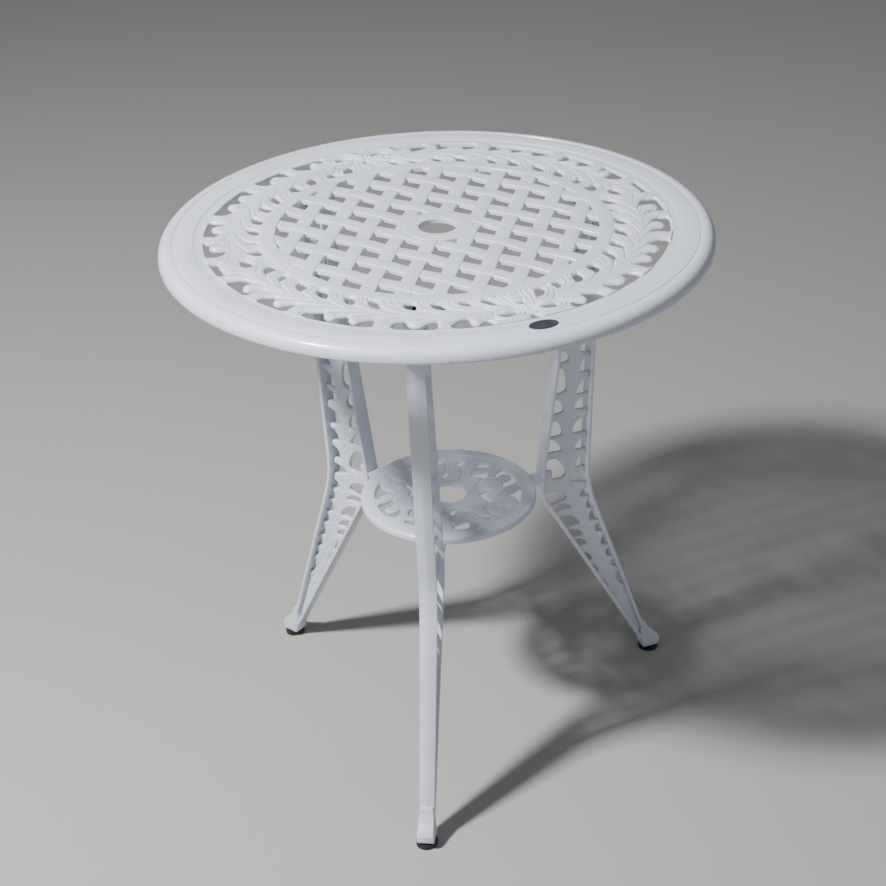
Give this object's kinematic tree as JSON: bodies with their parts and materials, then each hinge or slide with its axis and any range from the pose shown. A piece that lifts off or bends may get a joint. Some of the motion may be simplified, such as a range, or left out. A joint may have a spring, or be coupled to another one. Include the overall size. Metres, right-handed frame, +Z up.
{
  "type": "umbrella table",
  "caption": "Round cast garden table with a woven openwork top, a leaf wreath, a parasol pole hole, splayed openwork legs and a small pole shelf.",
  "frame": {"origin": "floor level under the centre of the pole hole, levelling feet wound right in", "axes": "+Z up along the pole hole; -Y out through the front leg, the one nearest the camera in the picture"},
  "size_m": [0.5999, 0.6, 0.636],
  "materials": {
    "white_casting": "satin white paint on cast aluminium",
    "steel_fixings": "zinc plated",
    "black_pads": "matt moulded"
  },
  "bodies": {
    "table": {"table_top": "white_casting", "shelf": "white_casting", "leg_front": "white_casting", "leg_right": "white_casting", "leg_left": "white_casting", "top_bolts": "steel_fixings", "top_washers": "steel_fixings", "shelf_bolts": "steel_fixings", "shelf_washers": "steel_fixings"},
    "pad_front": {"foot_pad_front": "black_pads"},
    "stud_front": {"foot_stud_front": "steel_fixings"},
    "pad_right": {"foot_pad_right": "black_pads"},
    "stud_right": {"foot_stud_right": "steel_fixings"},
    "pad_left": {"foot_pad_left": "black_pads"},
    "stud_left": {"foot_stud_left": "steel_fixings"}
  },
  "joints": [
    {"name": "level_front", "type": "slide", "parent": "table", "child": "pad_front", "axis": [0, 0, -1], "range_m": [0, 0.008]},
    {"name": "screw_front", "type": "hinge", "parent": "pad_front", "child": "stud_front", "pos_m": [0, -0.266, 0.01], "axis": [0, 0, 1], "range_deg": [0, 2310]},
    {"name": "level_right", "type": "slide", "parent": "table", "child": "pad_right", "axis": [0, 0, -1], "range_m": [0, 0.008]},
    {"name": "screw_right", "type": "hinge", "parent": "pad_right", "child": "stud_right", "pos_m": [0.23036, 0.133, 0.01], "axis": [0, 0, 1], "range_deg": [0, 2310]},
    {"name": "level_left", "type": "slide", "parent": "table", "child": "pad_left", "axis": [0, 0, -1], "range_m": [0, 0.008]},
    {"name": "screw_left", "type": "hinge", "parent": "pad_left", "child": "stud_left", "pos_m": [-0.23036, 0.133, 0.01], "axis": [0, 0, 1], "range_deg": [0, 2310]}
  ],
  "couplings": [
    {"joint": "screw_front", "follows": "level_front", "rad_per_m": 5026.5},
    {"joint": "screw_right", "follows": "level_right", "rad_per_m": 5026.5},
    {"joint": "screw_left", "follows": "level_left", "rad_per_m": 5026.5}
  ]
}
